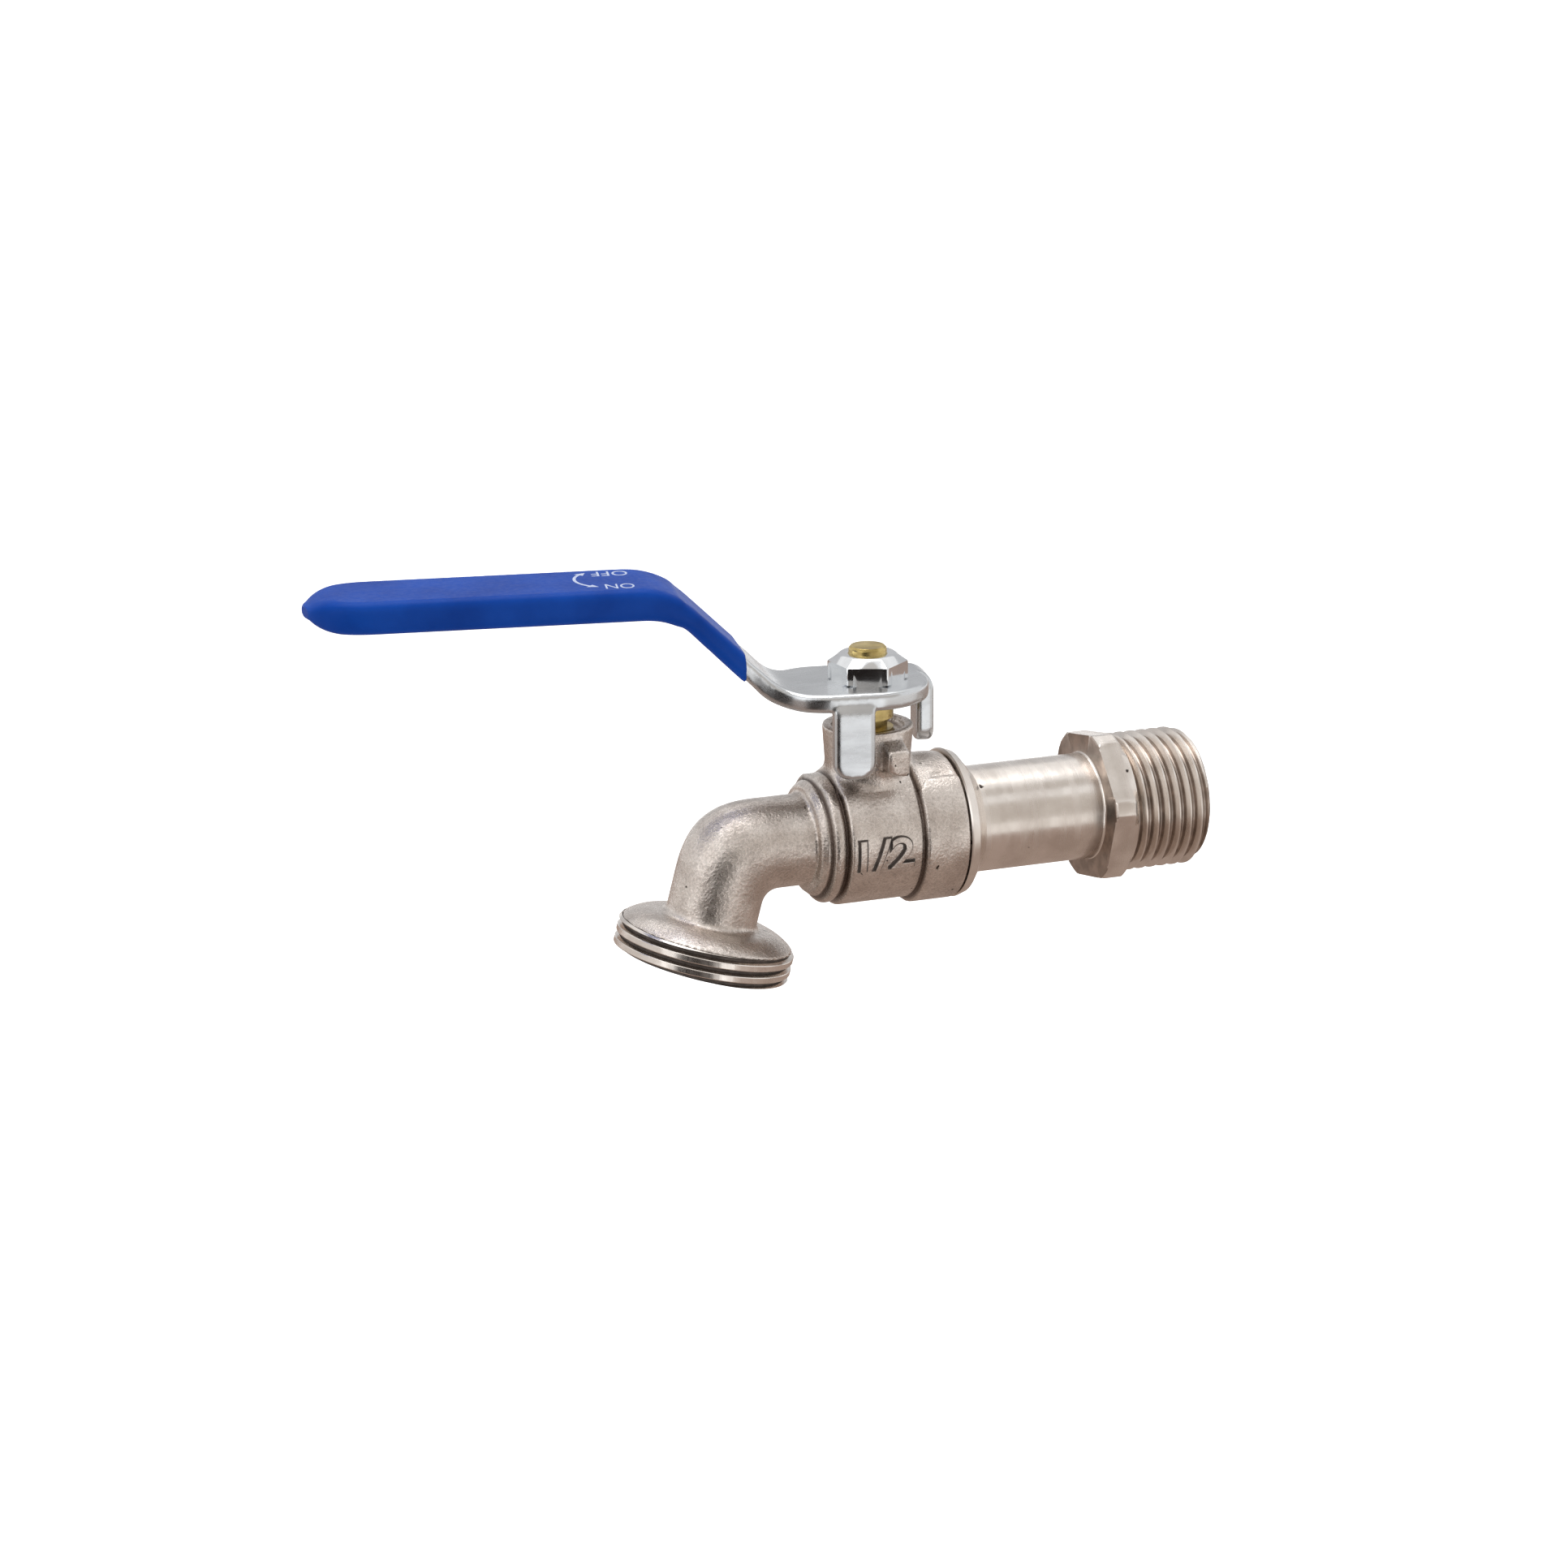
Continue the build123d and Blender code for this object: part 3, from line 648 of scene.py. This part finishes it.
def letters(text, height, depth, rounding, bold=0.0):
    curve = bpy.data.curves.new("letters", "FONT")
    curve.body = text
    curve.size = height / capitalShare
    curve.extrude = depth
    curve.bevel_depth = rounding
    curve.bevel_resolution = 2
    curve.offset = bold
    curve.align_x = "CENTER"
    holder = bpy.data.objects.new("letters", curve)
    scene.collection.objects.link(holder)
    bpy.context.view_layer.update()
    mesh = bpy.data.meshes.new_from_object(holder.evaluated_get(bpy.context.evaluated_depsgraph_get()))
    bpy.data.objects.remove(holder)
    bm = bmesh.new()
    bm.from_mesh(mesh)
    bmesh.ops.remove_doubles(bm, verts=bm.verts, dist=weld)
    return bm


# cast size mark, and the painted shadow that outlines it
castMark = {"name": "castMark", "allShaded": False, "text": "1/2", "height": 4.5 * mm, "width": 8.6 * mm,
            "radius": 10.3 * mm, "sunk": 0.3 * mm, "raise": 0.8 * mm, "draft": 0.12 * mm, "bold": 0.0,
            "along": -1.1 * mm, "turn": -2.6, "cuts": 3, "capFacing": 0.85}
markShadow = {**castMark, "name": "markShadow", "allShaded": True, "bold": 0.32 * mm, "draft": 0.0,
             "raise": castMark["sunk"] + 0.1 * mm, "width": castMark["width"] + 0.4 * mm}


def makeCastMark(spec):
    bm = letters(spec["text"], spec["height"], spec["raise"] / 2 - spec["draft"], spec["draft"], spec["bold"])
    bmesh.ops.triangulate(bm, faces=bm.faces)
    bmesh.ops.subdivide_edges(bm, edges=bm.edges, cuts=spec["cuts"], use_grid_fill=True)
    sides = [face.normal.z < spec["capFacing"] for face in bm.faces]
    low = min(vert.co.x for vert in bm.verts)
    high = max(vert.co.x for vert in bm.verts)
    stretch = spec["width"] / (high - low)
    for vert in bm.verts:  # wrapped round the chamber's front
        turn = math.radians(spec["turn"]) + (vert.co.y - spec["height"] / 2) / spec["radius"]
        radius = spec["radius"] + vert.co.z - spec["sunk"] + spec["raise"] / 2
        along = (vert.co.x - (low + high) / 2) * stretch + spec["along"]
        vert.co = ballCentre + Vector((along, -radius * math.cos(turn), radius * math.sin(turn)))
    piece = addPiece(spec["name"], bm, "nickel_cast", "body")
    # painted shadow: the letters' sides, and all of the bolder outline beneath, take the dark finish
    paintShadeOn(piece, paintedShade, lambda face: sides[face.index] or spec["allShaded"])


makeCastMark(castMark)
makeCastMark(markShadow)

# white print on the sleeve: two words and a double arrow round to them
sleevePrint = {"height": 2.7 * mm, "thick": 0.008 * mm, "lift": 0.002 * mm, "turn": 167,
               "stroke": 0.45 * mm, "head": 1.5 * mm,
               "words": (("OFF", -36.2, 10.5, 5.3 * mm), ("ON", -37.2, 2.8, 4.2 * mm)),
               "arc": ((-39.4, 12.1), (-41.9, 9.4), (-40.15, 3.5)), "arcSteps": 28}


def circleThrough(first, middle, last):
    rows = Matrix(((2 * (middle.x - first.x), 2 * (middle.y - first.y)),
                   (2 * (last.x - first.x), 2 * (last.y - first.y))))
    sums = Vector((middle.length_squared - first.length_squared, last.length_squared - first.length_squared))
    return rows.inverted() @ sums


def printArrow(spec):
    bm = bmesh.new()
    first, middle, last = (Vector(point) * mm for point in spec["arc"])
    centre = circleThrough(first, middle, last)
    radius = (first - centre).length
    start = math.atan2(*(first - centre).yx)
    sweep = (math.atan2(*(last - centre).yx) - start) % (2 * math.pi)

    def at(share, out):
        angle = start + share * sweep
        return bm.verts.new((centre + Vector((math.cos(angle), math.sin(angle))) * out).to_3d())

    half = spec["stroke"] / 2
    headShare = spec["head"] / (radius * sweep)
    steps = spec["arcSteps"]
    shares = [headShare + (1 - 2 * headShare) * step / steps for step in range(steps + 1)]
    rows = [(at(share, radius - half), at(share, radius + half)) for share in shares]
    for (inner, outer), (nextInner, nextOuter) in zip(rows, rows[1:]):
        bm.faces.new((inner, outer, nextOuter, nextInner))
    for tip, base in ((0.0, headShare), (1.0, 1.0 - headShare)):
        bm.faces.new((at(tip, radius), at(base, radius - spec["head"] / 2),
                      at(base, radius + spec["head"] / 2)))
    bmesh.ops.recalc_face_normals(bm, faces=bm.faces)
    grown = bmesh.ops.extrude_face_region(bm, geom=bm.faces[:])["geom"]
    bmesh.ops.translate(bm, vec=(0, 0, 2 * spec["thick"]),
                        verts=[item for item in grown if isinstance(item, bmesh.types.BMVert)])
    bmesh.ops.recalc_face_normals(bm, faces=bm.faces)
    return bm


def makePrint(spec):
    bm = printArrow(spec)
    for text, across, along, width in spec["words"]:
        word = letters(text, spec["height"], spec["thick"], 0.0)
        low = min(vert.co.x for vert in word.verts)
        high = max(vert.co.x for vert in word.verts)
        word.transform(Matrix.Translation((across * mm, along * mm, spec["thick"]))
                       @ Matrix.Rotation(math.radians(spec["turn"]), 4, "Z")
                       @ Matrix.Diagonal((width / (high - low), 1, 1, 1))
                       @ Matrix.Translation((-(low + high) / 2, -spec["height"] / 2, 0)))
        mesh = bpy.data.meshes.new("word")
        word.to_mesh(mesh)
        word.free()
        bm.from_mesh(mesh)
    level = cadBox[1].z - sleeveSpec["printRoom"] + spec["lift"]
    bm.transform(Matrix.Translation((ballCentre.x, ballCentre.y, level)))
    addPiece("sleevePrint", bm, "blue_vinyl", "handle", finish=printInk)


makePrint(sleevePrint)
print("lettering ready")


# studio
cameraSpec = {"azimuth": -22.131, "elevation": 16.982, "distance": 686.74 * mm, "lens": 106.32,
              "sensor": 36.0, "shiftX": -0.05332, "shiftY": 0.02986, "clipStart": 0.01}


def outwards(spec):
    # azimuth 0 is straight in front, positive to the right
    azimuth, elevation = math.radians(spec["azimuth"]), math.radians(spec["elevation"])
    return Vector((math.sin(azimuth) * math.cos(elevation), -math.cos(azimuth) * math.cos(elevation),
                   math.sin(elevation)))


def makeCamera(spec):
    back = outwards(spec)
    data = bpy.data.cameras.new("camera")
    data.lens, data.sensor_width = spec["lens"], spec["sensor"]
    data.shift_x, data.shift_y = spec["shiftX"], spec["shiftY"]
    data.clip_start = spec["clipStart"]
    camera = bpy.data.objects.new("camera", data)
    scene.collection.objects.link(camera)
    camera.location = ballCentre + back * spec["distance"]
    camera.rotation_euler = (-back).to_track_quat("-Z", "Y").to_euler()
    scene.camera = camera


makeCamera(cameraSpec)

studio = {"ambient": 0.46, "floorDrop": 0.20, "floorSize": 8.0}


def seesBackground(material):
    light = addNode(material, "ShaderNodeLightPath")
    first = addNode(material, "ShaderNodeMath", operation="MAXIMUM")
    second = addNode(material, "ShaderNodeMath", operation="MAXIMUM")
    join(material, light, "Is Camera Ray", first, 0)
    join(material, light, "Is Glossy Ray", first, 1)
    join(material, first, 0, second, 0)
    join(material, light, "Is Transmission Ray", second, 1)
    return second


def makeWorld(spec):
    world = bpy.data.worlds.new("studio")
    scene.world = world
    world.use_nodes = True
    output = world.node_tree.nodes["World Output"]
    dim = world.node_tree.nodes["Background"]
    dim.inputs["Color"].default_value = (1, 1, 1, 1)
    dim.inputs["Strength"].default_value = spec["ambient"]
    white = addNode(world, "ShaderNodeBackground", {"Color": (1, 1, 1, 1), "Strength": 1.0})
    pick = addNode(world, "ShaderNodeMixShader")
    join(world, seesBackground(world), 0, pick, 0)
    join(world, dim, 0, pick, 1)
    join(world, white, 0, pick, 2)
    join(world, pick, 0, output, "Surface")


makeWorld(studio)


def makeFloor(spec):
    bm = bmesh.new()
    bmesh.ops.create_grid(bm, x_segments=1, y_segments=1, size=spec["floorSize"] / 2)
    bm.transform(Matrix.Translation((ballCentre.x, 0, cadBox[0].z - spec["floorDrop"])))
    mesh = bpy.data.meshes.new("floor")
    bm.to_mesh(mesh)
    bm.free()
    material = bpy.data.materials.new("floor_white")
    material.use_nodes = True
    shader = material.node_tree.nodes["Principled BSDF"]
    shader.inputs["Base Color"].default_value = (0.9, 0.9, 0.9, 1)
    shader.inputs["Roughness"].default_value = 0.9
    shader.inputs["Emission Color"].default_value = (1, 1, 1, 1)
    join(material, seesBackground(material), 0, shader, "Emission Strength")
    mesh.materials.append(material)
    floor = bpy.data.objects.new("floor", mesh)
    scene.collection.objects.link(floor)


makeFloor(studio)

lamps = {
    "topBox": {"from": (-0.05, 0.10, 0.60), "size": (0.55, 0.40), "power": 1.9},
    "leftBox": {"from": (-0.60, -0.30, 0.22), "size": (0.30, 0.45), "power": 0.36},
}


def makeLamp(name, spec):
    data = bpy.data.lights.new(name, "AREA")
    data.shape = "RECTANGLE"
    data.size, data.size_y = spec["size"]
    data.energy = spec["power"]
    lamp = bpy.data.objects.new(name, data)
    scene.collection.objects.link(lamp)
    lamp.location = ballCentre + Vector(spec["from"])
    lamp.rotation_euler = (-Vector(spec["from"])).to_track_quat("-Z", "Y").to_euler()


for name, spec in lamps.items():
    makeLamp(name, spec)

# cards that only the reflections see: they shape the metal as a studio's flags do
cards = {
    "frontCard": {"azimuth": 5, "elevation": 22, "distance": 1.1,
                  "size": (1.5, 0.85), "tone": (0.66, 0.62, 0.58)},
    "highCard": {"azimuth": 15, "elevation": 66, "distance": 0.8,
                 "size": (1.2, 0.25), "tone": (0.62, 0.59, 0.56)},
    "backCard": {"azimuth": 158, "elevation": 19, "distance": 0.8,
                 "size": (1.8, 0.5), "tone": (0.60, 0.60, 0.61)},
    "lowCard": {"azimuth": 0, "elevation": -90, "distance": 0.17,
                "size": (3.0, 3.0), "tone": (0.40, 0.31, 0.265)},
    "leftLow": {"azimuth": -105, "elevation": -14, "distance": 0.42,
                "size": (0.5, 0.26), "tone": (0.72, 0.68, 0.65)},
    "rightLow": {"azimuth": 40, "elevation": -17, "distance": 0.5,
                 "size": (1.0, 0.32), "tone": (0.97, 0.94, 0.91)},
    "tabLow": {"azimuth": 2, "elevation": -17, "distance": 0.34,
               "size": (0.10, 0.18), "tone": (1.5, 1.5, 1.5)},
    "nutCard": {"azimuth": -32, "elevation": -11, "distance": 0.36,
                "size": (0.33, 0.36), "tone": (0.016, 0.013, 0.012)},
}


def makeCard(name, spec):
    away = outwards(spec)
    bm = bmesh.new()
    bmesh.ops.create_grid(bm, x_segments=1, y_segments=1, size=0.5)
    bmesh.ops.scale(bm, vec=(*spec["size"], 1.0), verts=bm.verts)
    turn = away.to_track_quat("Z", "Y").to_matrix().to_4x4()
    bm.transform(Matrix.Translation(ballCentre + away * spec["distance"]) @ turn)
    mesh = bpy.data.meshes.new(name)
    bm.to_mesh(mesh)
    bm.free()
    material = bpy.data.materials.new(name)
    material.use_nodes = True
    shader = material.node_tree.nodes["Principled BSDF"]
    shader.inputs["Base Color"].default_value = (0, 0, 0, 1)
    shader.inputs["Specular IOR Level"].default_value = 0.0
    shader.inputs["Emission Color"].default_value = (*spec["tone"], 1.0)
    shader.inputs["Emission Strength"].default_value = 1.0
    mesh.materials.append(material)
    card = bpy.data.objects.new(name, mesh)
    scene.collection.objects.link(card)
    card.visible_camera = card.visible_diffuse = card.visible_shadow = False


for name, spec in cards.items():
    makeCard(name, spec)

scene.view_settings.view_transform = "Standard"
print("studio ready")
